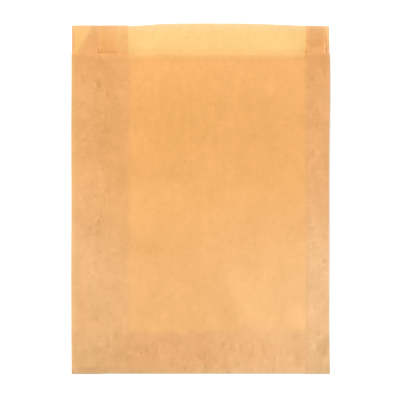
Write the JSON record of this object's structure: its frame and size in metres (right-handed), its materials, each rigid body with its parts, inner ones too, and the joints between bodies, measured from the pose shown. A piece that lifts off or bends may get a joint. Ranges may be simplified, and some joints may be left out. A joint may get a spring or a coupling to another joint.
{
  "type": "paper bag",
  "caption": "Flat brown kraft paper counter bag, folded and glued from one sheet, with side gussets, a back lap, a folded-under bottom and a low-cut front.",
  "frame": {"origin": "under the middle of the bag's outline, on the surface that the bag lies on", "axes": "+X across the bag to its right side as the front is seen, +Y up the bag towards its mouth, +Z out of the front panel"},
  "size_m": [0.25, 0.34, 0.0078],
  "materials": {
    "kraft_paper": "thin uncoated brown kraft, faintly ribbed and cloudy, translucent"
  },
  "bodies": {
    "root": {"paper_bag": "kraft_paper"}
  },
  "joints": []
}
